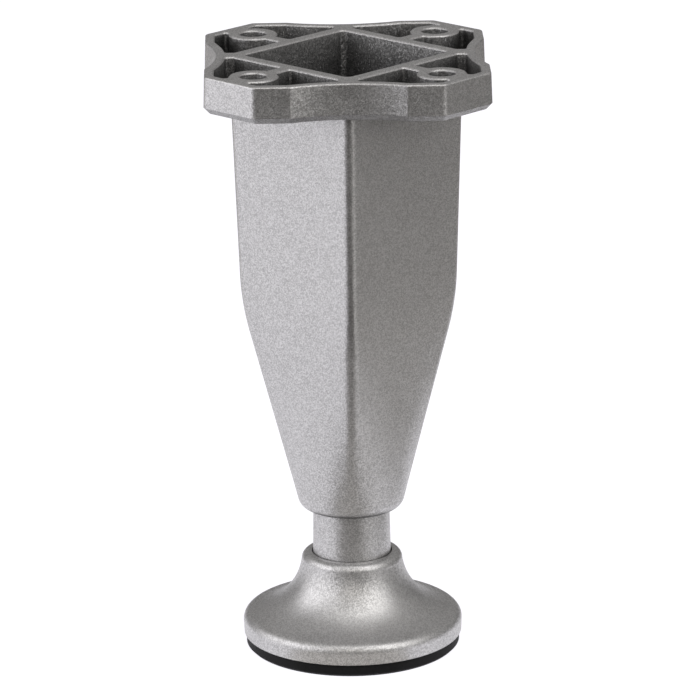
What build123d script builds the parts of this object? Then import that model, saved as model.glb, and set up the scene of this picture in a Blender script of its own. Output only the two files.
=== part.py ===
from build123d import *
import math
import os

# Adjustable furniture foot. A die-cast leg, square above and round below, carries the flange that is
# screwed under a cabinet. A bolt with a stem and a bell-shaped base turns in its lower end to set the
# height. Millimetres, +Z up, origin on the floor under the middle of the foot, shown part way out.

# Flange: plan outline, ribs and screw bosses
flange_width = 48.8
flange_thickness = 6.5
flange_draft = 1.9
flange_corner_cut = 8.2
side_hollow_width = 19.8
side_hollow_depth = 1.9
rim_wall = 1.65
pocket_floor = 2.0
pocket_corner_radius = 0.5
hole_inset = 8.4
hole_diameter = 4.7
boss_diameter = 8.6
boss_rib_width = 2.3
boss_foot_width = 5.0
corner_web_width = 3.4
corner_web_length = 0.55
top_edge_radius = 0.3
underside_bevel = 1.1
underside_corner_radius = 0.2
rib_edge_break = 0.25

# Leg: square shaft, curved knee, cone that turns round, collar
leg_length = 82.5
shaft_wall = 2.2
shaft_draft = 1.3
shaft_corner_radius = 1.7
inner_corner_radius = 1.0
knee_height = 37.7
knee_length = 10.6
collar_diameter = 19.05
collar_height = 2.0
collar_taper = 12.0
collar_edge_radius = 2.2
web_thickness = 15.5
bulge_growth = 1.6
knee_steps = 4

# Bolt: M8 with a hexagon head
bolt_diameter = 8.0
bolt_length = 60.0
head_across_flats = 13.0
head_height = 5.3
bolt_tip_chamfer = 1.0

# Stem: drafted sleeve on the bolt
stem_diameter = 13.9
stem_draft = 1.1
stem_length = 25.0
stem_socket_depth = 5.0

# Base and pad
base_diameter = 39.1
base_height = 14.8
neck_diameter = 18.0
neck_lean = 7.7
rim_edge_radius = 1.5
shoulder_radius = 1.6
band_height = 2.1
band_tuck = 0.1
pad_thickness = 2.3
pad_inset = 0.4
pad_edge_break = 0.45

# Travel and fits
extension = 8.0
closed_gap = 0.4
guide_length_below_web = 1.4
guide_clearance = 0.15
thread_clearance = 0.05
sleeve_clearance = 0.02
socket_clearance = 0.1
head_clearance = 0.1

# Places and radii that follow from the flange
flange_corner_radius = underside_bevel + underside_corner_radius
hole_pitch = flange_width - 2 * hole_inset
shaft_reach = flange_width / 2 - side_hollow_depth - rim_wall - corner_web_length
shaft_half_width = (shaft_reach + (math.sqrt(2) - 1) * shaft_corner_radius) / math.sqrt(2)

# Heights that follow from the stack of pieces
base_bottom = pad_thickness
rim_height = base_bottom + base_height
leg_bottom = rim_height + closed_gap + extension
leg_top = leg_bottom + leg_length
flange_bottom = leg_top - flange_thickness
stem_bottom = rim_height - stem_socket_depth
stem_top = stem_bottom + stem_length
head_top = base_bottom + head_clearance + head_height
web_bottom = stem_top + extension + guide_length_below_web
hollow_bottom = web_bottom + web_thickness
cone_bottom = leg_bottom + collar_height
knee_middle = leg_bottom + knee_height
knee_top = knee_middle + knee_length / 2
knee_low = knee_middle - knee_length / 2

standing = (Align.CENTER, Align.CENTER, Align.MIN)
hanging = (Align.CENTER, Align.CENTER, Align.MAX)
outward = (Align.MIN, Align.CENTER)


def tan_deg(angle):
    return math.tan(math.radians(angle))


def closed_outline(quarter):
    """Face bounded by a run of edges and its three quarter turns about the axis."""
    edges = [Rot(0, 0, 90 * turn) * edge for turn in range(4) for edge in quarter]
    return make_face(edges)


def flange_outline(half_width):
    """Plan of the flange: a square with cut corners and a shallow hollow in each side."""
    corner = half_width - flange_corner_cut
    hollow = side_hollow_width / 2
    start = (-corner, -half_width)
    dip_start = (-hollow, -half_width)
    dip_middle = (0, -half_width + side_hollow_depth)
    dip_end = (hollow, -half_width)
    end = (corner, -half_width)
    cut_end = (half_width, -corner)
    return closed_outline(
        [
            Line(start, dip_start),
            ThreePointArc(dip_start, dip_middle, dip_end),
            Line(dip_end, end),
            Line(end, cut_end),
        ]
    )


def leg_section(half_width, reach, bulge_angle):
    """Square turned on edge, given by its half width, its reach at the corners and its bulge.

    The bulge angle is how far each side turns from straight to its ends. The corner radius follows:
    with no bulge it is a plain rounded square, and with reach equal to half width it is a circle.
    """
    bulge = math.radians(bulge_angle)
    spread = 1 + math.tan(bulge / 2)
    lean = math.cos(bulge) - math.sin(bulge)
    spare = math.sqrt(2) * half_width / spread - reach
    corner_radius = spare / (math.sqrt(2) * (lean / spread + math.sin(bulge)) - 1)
    side_end = (half_width - corner_radius * lean) / spread
    side_reach = half_width - side_end * math.tan(bulge / 2)
    corner_middle = reach * math.sqrt(0.5)
    if bulge_angle > 0:
        side = ThreePointArc((side_reach, -side_end), (half_width, 0), (side_reach, side_end))
    else:
        side = Line((side_reach, -side_end), (side_reach, side_end))
    corner = ThreePointArc((side_reach, side_end), (corner_middle, corner_middle), (side_end, side_reach))
    return Rot(0, 0, 45) * closed_outline([side, corner])


def square_reach(half_width, corner_radius):
    """Distance from the axis to the corner of a rounded square."""
    return math.sqrt(2) * half_width - (math.sqrt(2) - 1) * corner_radius


def between(first, last, share):
    """Values part of the way from one form to another."""
    return [a + (b - a) * share for a, b in zip(first, last)]


def shaft_form(height):
    """Half width, reach and bulge of the drafted square shaft."""
    half_width = shaft_half_width - (leg_top - height) * tan_deg(shaft_draft)
    return [half_width, square_reach(half_width, shaft_corner_radius), 0.0]


def cone_form(height):
    """Half width, reach and bulge of the cone, which turns from a square to the collar's circle."""
    share = (knee_middle - height) / (knee_middle - cone_bottom)
    half_width, reach, _ = shaft_form(knee_middle)
    collar_radius = collar_diameter / 2
    corner_arc = shaft_corner_radius * math.pi / 2
    side = 2 * (half_width - shaft_corner_radius)
    round_bulge = 45 * side / (side + corner_arc)
    return [
        half_width + (collar_radius - half_width) * share,
        reach + (collar_radius - reach) * share,
        round_bulge * share**bulge_growth,
    ]


def knee_form(share):
    """Half width, reach and bulge across the knee, which eases the shaft into the cone."""
    middle = shaft_form(knee_middle)
    above = between(shaft_form(knee_top), middle, share)
    below = between(middle, cone_form(knee_low), share)
    return between(above, below, share)


def at_height(shape, height):
    return Pos(0, 0, height) * shape


def shaft_section(height):
    return at_height(leg_section(*shaft_form(height)), height)


def cone_section(height):
    return at_height(leg_section(*cone_form(height)), height)


def knee_section(share):
    return at_height(leg_section(*knee_form(share)), knee_top - knee_length * share)


def hollow_section(height):
    """Inside of the shaft, one wall in from its sides."""
    half_width = shaft_form(height)[0] - shaft_wall
    return at_height(leg_section(half_width, square_reach(half_width, inner_corner_radius), 0.0), height)


def leg_outside():
    """Outer form of the leg, from the flange's top face to its collar."""
    shaft = loft([shaft_section(knee_top), shaft_section(leg_top)], ruled=True)
    knee = loft([knee_section(step / knee_steps) for step in range(knee_steps + 1)])
    cone = loft([cone_section(cone_bottom), cone_section(knee_low)], ruled=True)
    collar_radius = collar_diameter / 2
    collar_end_radius = collar_radius - collar_height * tan_deg(collar_taper)
    collar = Cone(collar_end_radius, collar_radius, collar_height, align=hanging)
    collar = fillet(collar.edges().sort_by(Axis.Z)[0], collar_edge_radius)
    return shaft + knee + cone + at_height(collar, cone_bottom)


def flange_plate():
    """Flange before coring, with rounded corners, drafted sides and a bevelled underside."""
    outline = flange_outline(flange_width / 2)
    corners = outline.vertices().group_by(SortBy.DISTANCE)[-1]
    plate = extrude(fillet(corners, flange_corner_radius), -flange_thickness)
    plate = draft(plate.faces().filter_by(Plane.XY, reverse=True), Plane.XY, flange_draft)
    plate = chamfer(plate.edges().group_by(Axis.Z)[0], underside_bevel)
    plate = fillet(plate.edges().group_by(Axis.Z)[-1], top_edge_radius)
    return at_height(plate, leg_top)


def pocket_plan():
    """Plan of the cored pockets: inside of the rim, less the shaft, bosses, ribs and corner webs."""
    region = offset(flange_outline(flange_width / 2), -rim_wall, kind=Kind.INTERSECTION)
    region -= leg_section(*shaft_form(leg_top))
    diagonal = hole_pitch * math.sqrt(0.5)
    rib = Rectangle(diagonal, boss_rib_width, align=outward)
    foot = Rectangle(flange_width / 2, boss_foot_width, align=outward)
    web = Rectangle(flange_width / 2, corner_web_width, align=outward)
    solid_parts = rib + Pos(diagonal, 0) * (foot + Circle(boss_diameter / 2))
    for turn in range(4):
        region -= Rot(0, 0, 90 * turn + 45) * solid_parts
        region -= Rot(0, 0, 90 * turn) * web
    return fillet(region.vertices(), pocket_corner_radius)


def make_leg_body():
    """Die-cast flange and leg in one piece, cored from above and bored from below."""
    leg = leg_outside() + flange_plate()
    pocket_depth = flange_thickness - pocket_floor
    leg -= extrude(at_height(pocket_plan(), leg_top), -pocket_depth)
    leg -= loft([hollow_section(hollow_bottom), hollow_section(leg_top)], ruled=True)
    screw_hole = Cylinder(hole_diameter / 2, flange_thickness, align=hanging)
    for spot in GridLocations(hole_pitch, hole_pitch, 2, 2):
        leg -= at_height(spot * screw_hole, leg_top)
    bore_length = web_bottom - leg_bottom
    bore_radius = stem_diameter / 2 + guide_clearance
    bore_end_radius = bore_radius - bore_length * tan_deg(stem_draft)
    leg -= at_height(Cone(bore_radius, bore_end_radius, bore_length, align=standing), leg_bottom)
    tapped_hole = Cylinder(bolt_diameter / 2 + thread_clearance, web_thickness, align=standing)
    leg -= at_height(tapped_hole, web_bottom)
    mounting_face = leg.faces().filter_by(Plane.XY).sort_by(Axis.Z)[-1]
    rib_edges = [edge for wire in mounting_face.inner_wires() for edge in wire.edges()]
    return chamfer(rib_edges, rib_edge_break)


def make_adjusting_bolt():
    """Hexagon-head bolt, its head held in the base and its tip in the leg's tapped web."""
    shank = Cylinder(bolt_diameter / 2, bolt_length, align=standing)
    shank = chamfer(shank.edges().sort_by(Axis.Z)[-1], bolt_tip_chamfer)
    head = extrude(RegularPolygon(head_across_flats / 2, 6, major_radius=False), -head_height)
    return at_height(shank + head, head_top)


def make_stem():
    """Smooth sleeve on the bolt that fills the leg's bore, with the draft it is cast with."""
    radius_below = stem_diameter / 2 + stem_socket_depth * tan_deg(stem_draft)
    radius_above = radius_below - stem_length * tan_deg(stem_draft)
    sleeve = Cone(radius_below, radius_above, stem_length, align=standing)
    sleeve -= Cylinder(bolt_diameter / 2 + sleeve_clearance, stem_length, align=standing)
    return at_height(sleeve, stem_bottom)


def make_foot_base():
    """Bell-shaped base, its flare one hollow arc from the rim to the rounded shoulder."""
    outer = base_diameter / 2
    neck = neck_diameter / 2
    band_top = base_bottom + band_height
    flare_top = rim_height - rim_edge_radius
    across = outer - shoulder_radius - neck
    down = flare_top - band_top
    lean = Vector(math.cos(math.radians(neck_lean)), math.sin(math.radians(neck_lean)))
    spare = shoulder_radius + across * lean.X - down * lean.Y
    flare_radius = (across**2 + down**2 - shoulder_radius**2) / (2 * spare)
    flare_centre = Vector(neck, flare_top) + lean * flare_radius
    shoulder_centre = Vector(outer - shoulder_radius, band_top)
    towards = (shoulder_centre - flare_centre).normalized()
    meeting = flare_centre + towards * flare_radius
    flare_middle = flare_centre + (towards - lean).normalized() * flare_radius
    shoulder_middle = shoulder_centre + (Vector(1, 0) - towards).normalized() * shoulder_radius
    rim_centre = Vector(neck - rim_edge_radius, flare_top)
    profile = [
        Line((0, base_bottom), (outer - band_tuck, base_bottom)),
        Line((outer - band_tuck, base_bottom), (outer, band_top)),
        ThreePointArc((outer, band_top), shoulder_middle, meeting),
        ThreePointArc(meeting, flare_middle, (neck, flare_top)),
        ThreePointArc(
            (neck, flare_top),
            rim_centre + Vector(1, 1).normalized() * rim_edge_radius,
            (neck - rim_edge_radius, rim_height),
        ),
        Line((neck - rim_edge_radius, rim_height), (0, rim_height)),
        Line((0, rim_height), (0, base_bottom)),
    ]
    base = revolve(Plane.XZ * make_face(profile), Axis.Z)
    socket_radius = stem_diameter / 2 + stem_socket_depth * tan_deg(stem_draft) + socket_clearance
    base -= at_height(Cylinder(socket_radius, stem_socket_depth, align=standing), stem_bottom)
    head_plan = RegularPolygon(head_across_flats / 2 + head_clearance, 6, major_radius=False)
    base -= at_height(extrude(head_plan, head_top - base_bottom), base_bottom)
    shank_hole = Cylinder(bolt_diameter / 2 + sleeve_clearance, stem_bottom - head_top, align=standing)
    return base - at_height(shank_hole, head_top)


def make_floor_pad():
    """Soft round glide under the base."""
    radius = base_diameter / 2 - band_tuck - pad_inset
    pad = Cylinder(radius, pad_thickness, align=standing)
    return chamfer(pad.edges().sort_by(Axis.Z)[0], pad_edge_break)


os.makedirs("parts", exist_ok=True)
export_step(make_leg_body(), "parts/leg_body.step")
export_step(make_adjusting_bolt(), "parts/adjusting_bolt.step")
export_step(make_stem(), "parts/stem.step")
export_step(make_foot_base(), "parts/foot_base.step")
export_step(make_floor_pad(), "parts/floor_pad.step")
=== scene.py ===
import math

import bmesh
import bpy
from mathutils import Matrix, Vector


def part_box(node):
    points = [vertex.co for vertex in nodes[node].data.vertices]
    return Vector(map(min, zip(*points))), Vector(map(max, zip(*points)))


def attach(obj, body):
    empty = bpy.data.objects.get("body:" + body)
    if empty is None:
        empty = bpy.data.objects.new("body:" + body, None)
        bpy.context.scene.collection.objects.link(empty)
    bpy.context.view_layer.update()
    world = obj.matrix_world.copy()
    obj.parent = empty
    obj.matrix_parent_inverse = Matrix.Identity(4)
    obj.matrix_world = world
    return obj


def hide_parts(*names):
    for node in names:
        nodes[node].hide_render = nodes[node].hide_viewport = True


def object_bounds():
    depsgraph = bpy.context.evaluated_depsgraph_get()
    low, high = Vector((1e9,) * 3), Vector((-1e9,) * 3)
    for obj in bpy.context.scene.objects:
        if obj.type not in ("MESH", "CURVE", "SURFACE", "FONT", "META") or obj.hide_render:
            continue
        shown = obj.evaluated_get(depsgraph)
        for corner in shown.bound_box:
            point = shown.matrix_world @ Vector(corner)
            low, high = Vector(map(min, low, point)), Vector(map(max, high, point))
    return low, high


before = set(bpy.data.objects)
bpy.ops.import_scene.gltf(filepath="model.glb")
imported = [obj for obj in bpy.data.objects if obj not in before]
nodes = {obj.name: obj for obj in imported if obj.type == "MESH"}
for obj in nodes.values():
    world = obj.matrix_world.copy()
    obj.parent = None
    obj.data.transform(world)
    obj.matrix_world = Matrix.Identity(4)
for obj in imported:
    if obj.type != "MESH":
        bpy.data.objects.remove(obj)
cad_low, cad_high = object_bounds()


# Leg: one zinc die casting, the ribbed flange that is screwed under the cabinet and the shaft below it.
# It is sprayed with a satin silver lacquer, a fine grain of metal flakes in a clear binder.

mm = 0.001
flake_size = 0.17 * mm
dark_flake = (0.40, 0.396, 0.397)
light_flake = (0.62, 0.615, 0.616)
satin_patch = 4 * mm
edge_softness = 0.2 * mm
# Painted shade: the lacquer's colour is darkened by ambient occlusion over this reach and on faces
# turned down.
painted_shade_reach = 60 * mm
underside_lit_share = 0.3
painted_shade_tone = 0.28
shaded_flake_tip = 0.5
open_flake_tip = 0.15


def new_material(name):
    """Material with its node tree and its Principled shader."""
    material = bpy.data.materials.new(name)
    material.use_nodes = True
    tree = material.node_tree
    return material, tree, tree.nodes["Principled BSDF"]


def add_node(tree, kind, settings=(), **inputs):
    """Node with its settings, and its inputs set by name with spaces written as underscores."""
    node = tree.nodes.new(kind)
    for name, value in dict(settings).items():
        setattr(node, name, value)
    for name, value in inputs.items():
        node.inputs[name.replace("_", " ")].default_value = value
    return node


def textured(tree, coordinates, kind, size, **inputs):
    """3-D texture on object coordinates whose grains are about size across."""
    texture = add_node(tree, kind, Scale=1 / size, **inputs)
    tree.links.new(coordinates.outputs["Object"], texture.inputs["Vector"])
    return texture


def mapped(tree, source, settings=(), **limits):
    """Value carried over from one range to another, each 0 to 1 where no limit is given."""
    node = add_node(tree, "ShaderNodeMapRange", settings, **limits)
    tree.links.new(source, node.inputs["Value"])
    return node.outputs["Result"]


def spread(tree, texture, low, high):
    """Value of a texture, with its usual range stretched from low to high."""
    return mapped(tree, texture, From_Min=0.3, From_Max=0.7, To_Min=low, To_Max=high)


def blended(tree, source, first, last, span=(0.3, 0.7)):
    """Colour that goes from a first to a last one as a value crosses a span."""
    ramp = add_node(tree, "ShaderNodeValToRGB")
    for stop, position, colour in zip(ramp.color_ramp.elements, span, (first, last)):
        stop.position = position
        stop.color = (*colour, 1)
    tree.links.new(source, ramp.inputs["Fac"])
    return ramp.outputs["Color"]


def calculated(tree, operation, first, second):
    """One value worked out from two."""
    node = add_node(tree, "ShaderNodeMath", {"operation": operation})
    tree.links.new(first, node.inputs[0])
    tree.links.new(second, node.inputs[1])
    return node.outputs["Value"]


def scaled(tree, vector, share, low, high):
    """Vector or colour times a factor that goes from low to high with a share."""
    node = add_node(tree, "ShaderNodeVectorMath", {"operation": "SCALE"})
    tree.links.new(vector, node.inputs["Vector"])
    tree.links.new(mapped(tree, share, To_Min=low, To_Max=high), node.inputs["Scale"])
    return node.outputs["Vector"]


def painted_light_share(tree, coordinates):
    """Light share for painted shade, 0 to 1: less in the pockets, down the hollow and on faces turned
    down.
    """
    opening = add_node(
        tree,
        "ShaderNodeAmbientOcclusion",
        {"only_local": True, "samples": 8},
        Distance=painted_shade_reach,
    )
    facing = add_node(tree, "ShaderNodeSeparateXYZ")
    tree.links.new(coordinates.outputs["Normal"], facing.inputs["Vector"])
    from_above = mapped(
        tree, facing.outputs["Z"], From_Min=-0.8, From_Max=-0.3, To_Min=underside_lit_share
    )
    unshaded = calculated(tree, "MULTIPLY", opening.outputs["AO"], from_above)
    return mapped(tree, unshaded, From_Min=0.3, From_Max=0.6)


def tipped_flakes(tree, flakes, share):
    """Normal that is softened at the edges and tipped on each flake, more where the painted shade falls.
    """
    rounded = add_node(tree, "ShaderNodeBevel", {"samples": 6}, Radius=edge_softness)
    either_way = add_node(tree, "ShaderNodeVectorMath", {"operation": "SUBTRACT"})
    tree.links.new(flakes.outputs["Color"], either_way.inputs[0])
    either_way.inputs[1].default_value = (0.5, 0.5, 0.5)
    tip = scaled(tree, either_way.outputs["Vector"], share, shaded_flake_tip, open_flake_tip)
    tipped = add_node(tree, "ShaderNodeVectorMath", {"operation": "ADD"})
    tree.links.new(rounded.outputs["Normal"], tipped.inputs[0])
    tree.links.new(tip, tipped.inputs[1])
    return tipped.outputs["Vector"]


def silver_lacquer():
    """Satin silver lacquer, each flake lighter or darker, and all darker where shade is painted in the
    pockets, the hollow and underneath.
    """
    material, tree, shader = new_material("silver_lacquer")
    shader.inputs["Metallic"].default_value = 0.9
    coordinates = add_node(tree, "ShaderNodeTexCoord")
    flakes = textured(tree, coordinates, "ShaderNodeTexVoronoi", flake_size)
    share = painted_light_share(tree, coordinates)
    silver = blended(tree, flakes.outputs["Color"], dark_flake, light_flake)
    # Painted shade: base colour darkened in the pockets, down the hollow and underneath.
    tree.links.new(scaled(tree, silver, share, painted_shade_tone, 1.0), shader.inputs["Base Color"])
    satin = textured(tree, coordinates, "ShaderNodeTexNoise", satin_patch, Detail=4.0)
    tree.links.new(spread(tree, satin.outputs["Fac"], 0.38, 0.46), shader.inputs["Roughness"])
    tree.links.new(tipped_flakes(tree, flakes, share), shader.inputs["Normal"])
    return material


def coat(piece, material):
    """Gives a piece one finish all over."""
    piece.data.materials.clear()
    piece.data.materials.append(material)


lacquer = silver_lacquer()
coat(nodes["leg_body"], lacquer)


# Stem: the smooth drafted sleeve on the bolt, which slides in the leg's bore.
# It is cast in zinc and lacquered with the leg.

coat(nodes["stem"], lacquer)


# Base: the bell-shaped foot below the stem, cast in zinc in one piece.
# It takes the bolt's head in its underside and has the leg's silver lacquer.

coat(nodes["foot_base"], lacquer)


# Pad: the round black glide pressed under the base, moulded in soft rubber.
# Its skin is dull, with the fine grain of the mould.

grain_size = 0.35 * mm
grain_height = 0.05 * mm


def black_rubber():
    """Dull black rubber with a moulded grain."""
    material, tree, shader = new_material("black_rubber")
    shader.inputs["Specular IOR Level"].default_value = 0.15
    coordinates = add_node(tree, "ShaderNodeTexCoord")
    grain = textured(tree, coordinates, "ShaderNodeTexNoise", grain_size, Detail=3.0).outputs["Fac"]
    black = blended(tree, grain, (0.008, 0.008, 0.0088), (0.014, 0.014, 0.015))
    tree.links.new(black, shader.inputs["Base Color"])
    tree.links.new(spread(tree, grain, 0.55, 0.7), shader.inputs["Roughness"])
    bump = add_node(tree, "ShaderNodeBump", Strength=0.25, Distance=grain_height)
    tree.links.new(grain, bump.inputs["Height"])
    tree.links.new(bump.outputs["Normal"], shader.inputs["Normal"])
    return material


coat(nodes["floor_pad"], black_rubber())


# Bolt: an M8 hexagon bolt, rolled in steel and zinc plated, that ties the stem to the base.
# Its thread runs in the tapped web, and its tip stands up in the leg's hollow.

thread_radius = 4 * mm
thread_pitch = 1.25 * mm
thread_depth = 0.61 * thread_pitch
crest_width = thread_pitch / 8
root_width = thread_pitch / 4
steps_per_turn = 32
tip_chamfer = 1 * mm
head_height = 5.3 * mm
head_across_flats = 13 * mm
head_edge = 0.5 * mm
stain_size = 2.5 * mm

bolt_low, bolt_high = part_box("adjusting_bolt")
head_middle = bolt_low.z + head_height / 2
root_radius = thread_radius - thread_depth
flank_width = (thread_pitch - crest_width - root_width) / 2

# One turn's ridge is swept up a helix that starts and ends past the shank, and is cut off inside the
# head and at the tip, where the crests are then turned down to a chamfer.
thread_start = head_middle - thread_pitch
turns = math.ceil((bolt_high.z - thread_start) / thread_pitch) + 1
profile = [
    (root_radius, 0),
    (root_radius, root_width),
    (thread_radius, root_width + flank_width),
    (thread_radius, root_width + flank_width + crest_width),
    (root_radius, thread_pitch),
]
bolt_mesh = bmesh.new()
corners = [bolt_mesh.verts.new((radius, 0, thread_start + height)) for radius, height in profile]
ridge = [bolt_mesh.edges.new(pair) for pair in zip(corners, corners[1:])]
bmesh.ops.spin(
    bolt_mesh,
    geom=corners + ridge,
    axis=(0, 0, 1),
    dvec=(0, 0, thread_pitch / steps_per_turn),
    angle=turns * math.tau,
    steps=turns * steps_per_turn,
)
for height, outward in ((head_middle, -1), (bolt_high.z, 1)):
    bmesh.ops.bisect_plane(
        bolt_mesh,
        geom=bolt_mesh.verts[:] + bolt_mesh.edges[:] + bolt_mesh.faces[:],
        plane_co=(0, 0, height),
        plane_no=(0, 0, outward),
        clear_outer=True,
    )
bmesh.ops.remove_doubles(bolt_mesh, verts=bolt_mesh.verts, dist=0.01 * mm)
bmesh.ops.holes_fill(bolt_mesh, edges=[edge for edge in bolt_mesh.edges if edge.is_boundary])
for vert in bolt_mesh.verts:
    radius = vert.co.xy.length
    limit = thread_radius - max(0, vert.co.z - (bolt_high.z - tip_chamfer))
    if radius > limit:
        vert.co.xy *= limit / radius
bmesh.ops.recalc_face_normals(bolt_mesh, faces=bolt_mesh.faces)

head = bmesh.ops.create_cone(
    bolt_mesh,
    segments=6,
    radius1=head_across_flats / math.sqrt(3),
    radius2=head_across_flats / math.sqrt(3),
    depth=head_height,
    cap_ends=True,
    matrix=Matrix.Translation((0, 0, head_middle)) @ Matrix.Rotation(math.radians(30), 4, "Z"),
)
head_edges = {edge for vert in head["verts"] for edge in vert.link_edges}
bmesh.ops.bevel(
    bolt_mesh,
    geom=list(head_edges),
    offset=head_edge,
    segments=2,
    profile=0.5,
    affect="EDGES",
    material=-1,
)


def add_object(name, mesh):
    """Object at the origin that takes over a bmesh."""
    data = bpy.data.meshes.new(name)
    mesh.to_mesh(data)
    mesh.free()
    made = bpy.data.objects.new(name, data)
    bpy.context.scene.collection.objects.link(made)
    return made


def zinc_plate():
    """Bright zinc plating, slightly blue, a little stained."""
    material, tree, shader = new_material("zinc_plate")
    shader.inputs["Metallic"].default_value = 1.0
    coordinates = add_node(tree, "ShaderNodeTexCoord")
    stain = textured(tree, coordinates, "ShaderNodeTexNoise", stain_size, Detail=4.0).outputs["Fac"]
    zinc = blended(tree, stain, (0.50, 0.51, 0.53), (0.62, 0.63, 0.65))
    tree.links.new(zinc, shader.inputs["Base Color"])
    tree.links.new(spread(tree, stain, 0.22, 0.38), shader.inputs["Roughness"])
    return material


threaded_bolt = add_object("threaded_bolt", bolt_mesh)
coat(threaded_bolt, zinc_plate())
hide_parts("adjusting_bolt")
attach(threaded_bolt, "foot")


# Studio: a white table in a dim room, with soft boxes on the left, on the right, in front and overhead.
# Paper cards lie on the table, black in front of the foot and pale or grey beside and behind it, and
# show in reflections alone. Table and cards go with the pad, so the foot stands there at any height.

table_radius = 4.0
card_height = 0.5 * mm
card_reach = 3.0
lamp_distance = 1.1
middle = (cad_low + cad_high) / 2


def matt(shader):
    """Takes all gloss off a shader."""
    shader.inputs["Roughness"].default_value = 0.9
    shader.inputs["Specular IOR Level"].default_value = 0.0


def white_table():
    """White that the camera and the metal see as white, and that still takes the foot's shadow."""
    material, tree, shader = new_material("white_table")
    matt(shader)
    shader.inputs["Base Color"].default_value = (0.25, 0.25, 0.25, 1)
    shader.inputs["Emission Color"].default_value = (0.96, 0.95, 1, 1)
    ray = add_node(tree, "ShaderNodeLightPath")
    seen = ray.outputs["Is Camera Ray"]
    for kind in ("Is Glossy Ray", "Is Transmission Ray"):
        seen = calculated(tree, "MAXIMUM", seen, ray.outputs[kind])
    tree.links.new(mapped(tree, seen, To_Max=0.94), shader.inputs["Emission Strength"])
    return material


table_mesh = bmesh.new()
bmesh.ops.create_circle(table_mesh, cap_ends=True, segments=96, radius=table_radius)
table = add_object("white_table", table_mesh)
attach(table, "pad")
coat(table, white_table())


def from_front(azimuth, elevation=0.0):
    """Direction seen from the foot, in degrees: azimuth from the front, to the right above zero."""
    turn = math.radians(azimuth)
    rise = math.radians(elevation)
    return Vector(
        (math.sin(turn) * math.cos(rise), -math.cos(turn) * math.cos(rise), math.sin(rise))
    )


def floor_card(name, azimuths, near, colour, far_colour=None, fade=None):
    """Card on the table between two azimuths, from a near edge outwards, seen in reflections alone.

    With a far colour, its own colour goes over to that one between the two distances of fade.
    """
    first, last = azimuths
    corners = [(first, near), (first, card_reach), (last, card_reach), (last, near)]
    mesh = bmesh.new()
    mesh.faces.new([mesh.verts.new(from_front(turn) * reach) for turn, reach in corners])
    bmesh.ops.translate(mesh, verts=mesh.verts, vec=(0, 0, card_height))
    bmesh.ops.recalc_face_normals(mesh, faces=mesh.faces)
    card = add_object(name, mesh)
    card.visible_camera = False
    card.visible_diffuse = False
    card.visible_shadow = False
    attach(card, "pad")
    material, tree, shader = new_material(name)
    matt(shader)
    shader.inputs["Base Color"].default_value = (*colour, 1)
    if far_colour:
        coordinates = add_node(tree, "ShaderNodeTexCoord")
        distance = add_node(tree, "ShaderNodeVectorMath", {"operation": "LENGTH"})
        tree.links.new(coordinates.outputs["Object"], distance.inputs[0])
        shade = blended(tree, distance.outputs["Value"], colour, far_colour, fade)
        tree.links.new(shade, shader.inputs["Base Color"])
    coat(card, material)


floor_card(
    "black_card",
    azimuths=(-43, 35),
    near=22 * mm,
    colour=(0.8, 0.78, 0.76),
    far_colour=(0.02, 0.016, 0.012),
    fade=(24 * mm, 88 * mm),
)
floor_card("pale_card", azimuths=(35, 58), near=50 * mm, colour=(0.88, 0.87, 0.86))
floor_card(
    "grey_card",
    azimuths=(58, 118),
    near=72 * mm,
    colour=(0.53, 0.52, 0.51),
    far_colour=(0.19, 0.185, 0.18),
    fade=(180 * mm, 420 * mm),
)
floor_card("back_card", azimuths=(118, 190), near=250 * mm, colour=(0.5, 0.49, 0.48))
floor_card("left_back_card", azimuths=(190, 245), near=250 * mm, colour=(0.68, 0.67, 0.66))

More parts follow.
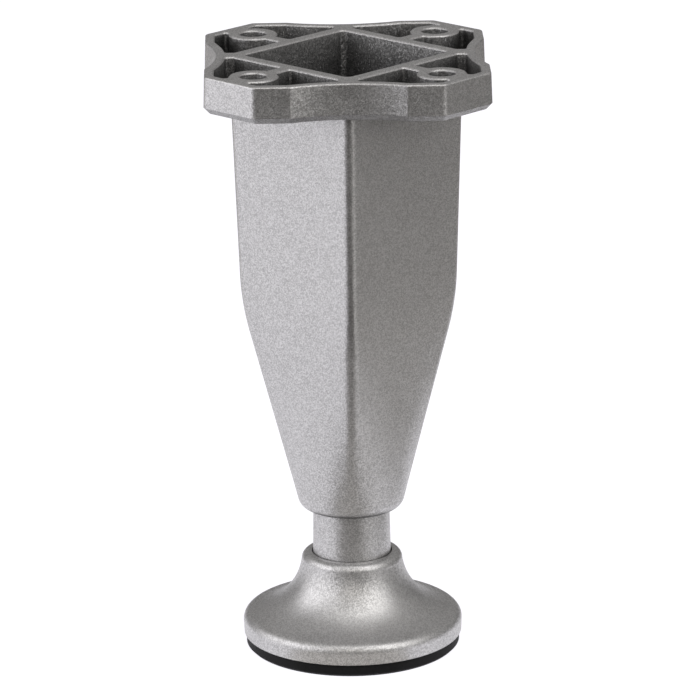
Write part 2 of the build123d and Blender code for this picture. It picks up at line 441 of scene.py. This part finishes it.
world = bpy.data.worlds.new("dim_room")
bpy.context.scene.world = world
world.use_nodes = True
room = world.node_tree
walls = room.nodes["Background"]
walls.inputs["Color"].default_value = (1, 0.98, 0.96, 1)
direction = add_node(room, "ShaderNodeTexCoord")
axes = add_node(room, "ShaderNodeSeparateXYZ")
room.links.new(direction.outputs["Generated"], axes.inputs["Vector"])
lighter_upwards = mapped(
    room,
    axes.outputs["Z"],
    {"interpolation_type": "SMOOTHSTEP"},
    From_Min=-0.1,
    From_Max=0.6,
    To_Min=0.11,
    To_Max=0.37,
)
room.links.new(lighter_upwards, walls.inputs["Strength"])


def soft_box(name, azimuth, elevation, wide, tall, brightness, colour):
    """Soft box in a direction from the foot, filling so many degrees each way, with a face so bright."""
    data = bpy.data.lights.new(name, "AREA")
    data.shape = "RECTANGLE"
    data.size = 2 * lamp_distance * math.tan(math.radians(wide / 2))
    data.size_y = 2 * lamp_distance * math.tan(math.radians(tall / 2))
    data.energy = brightness * math.pi * data.size * data.size_y
    data.color = colour
    lamp = bpy.data.objects.new(name, data)
    bpy.context.scene.collection.objects.link(lamp)
    towards = from_front(azimuth, elevation)
    lamp.location = middle + towards * lamp_distance
    lamp.rotation_euler = (-towards).to_track_quat("-Z", "Y").to_euler()


soft_box("left_box", -75, 24, wide=70, tall=44, brightness=1.65, colour=(0.99, 0.98, 1))
soft_box("right_box", 52, 38, wide=40, tall=54, brightness=1.7, colour=(1, 0.99, 0.97))
soft_box("front_box", 0, 27, wide=44, tall=22, brightness=0.8, colour=(1, 0.95, 0.87))
soft_box("top_box", 0, 67, wide=50, tall=24, brightness=1.3, colour=(1, 0.99, 0.97))


# Camera: a long lens in front of the foot and a little above it, held almost level.
# It stands where the outline of the foot is the one in the photograph.

camera_azimuth = -1.03
camera_elevation = 16.89
camera_roll = -0.72
camera_distance = 813.3 * mm
picture_centre = Vector((-0.25, 0, 54.67)) * mm

camera_data = bpy.data.cameras.new("camera")
camera_data.sensor_width = 36
camera_data.lens = 238.7
camera = bpy.data.objects.new("camera", camera_data)
bpy.context.scene.collection.objects.link(camera)
away = from_front(camera_azimuth, camera_elevation)
upright = (-away).to_track_quat("-Z", "Y").to_matrix().to_4x4()
camera.matrix_world = (
    Matrix.Translation(picture_centre + away * camera_distance)
    @ upright
    @ Matrix.Rotation(math.radians(camera_roll), 4, "Z")
)
bpy.context.scene.camera = camera
bpy.context.scene.view_settings.view_transform = "Standard"
